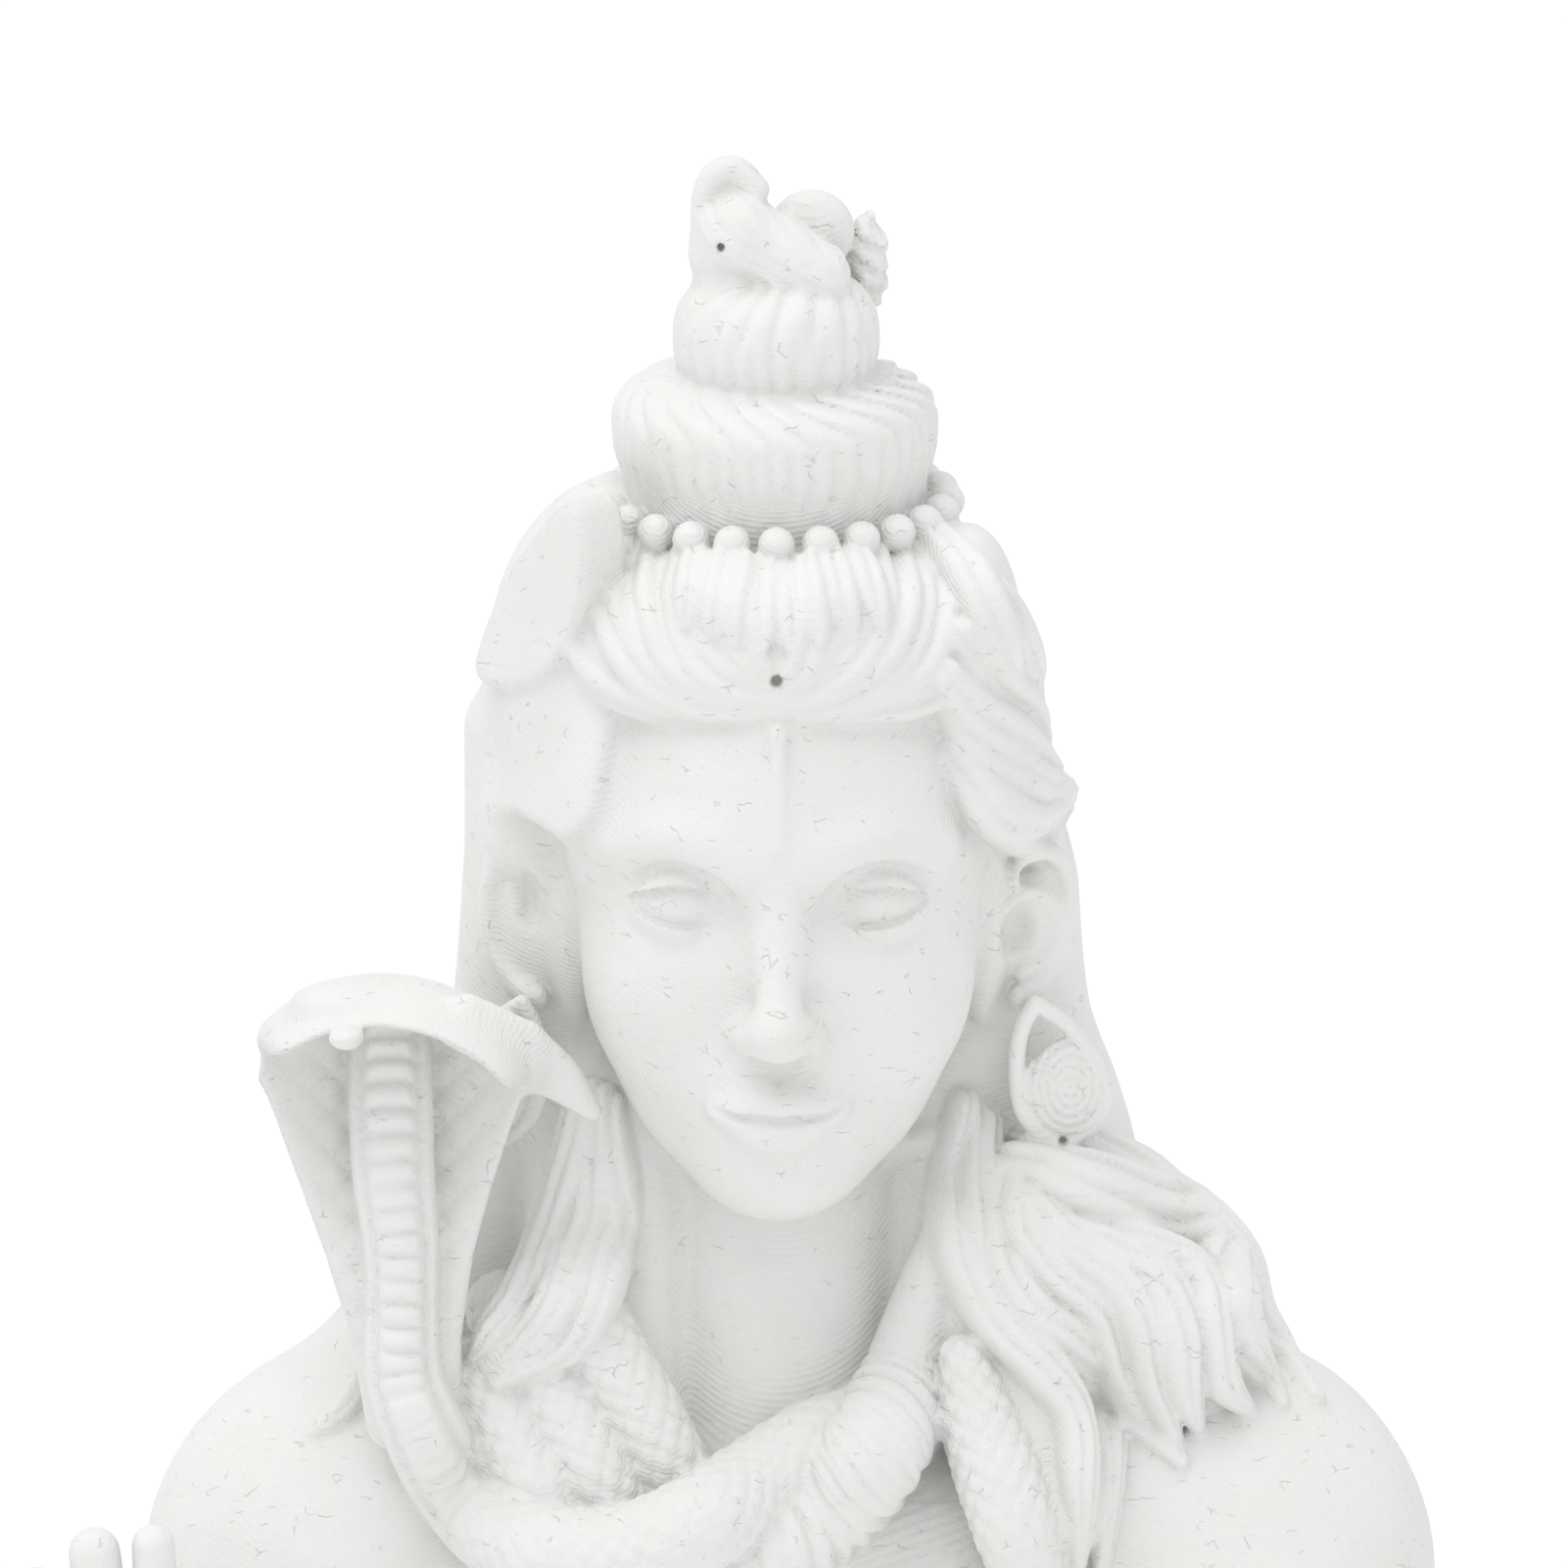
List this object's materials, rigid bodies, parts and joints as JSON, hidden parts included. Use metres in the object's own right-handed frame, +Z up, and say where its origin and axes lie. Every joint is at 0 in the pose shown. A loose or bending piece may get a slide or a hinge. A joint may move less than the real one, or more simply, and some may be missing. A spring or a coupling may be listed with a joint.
{
  "type": "shiva figure",
  "caption": "Cast white bust of Shiva, cut flat below: beaded topknot, crescent moon, loose wavy locks, a cobra with raised hood round the neck and one hand lifted.",
  "frame": {"origin": "middle of the body on the flat underside", "axes": "+Z up, the face looks towards -Y, +X is the figure's left"},
  "size_m": [0.0447, 0.0211, 0.0668],
  "materials": {
    "plaster": "matt"
  },
  "bodies": {
    "root": {"shiva_bust": "plaster"}
  },
  "joints": []
}
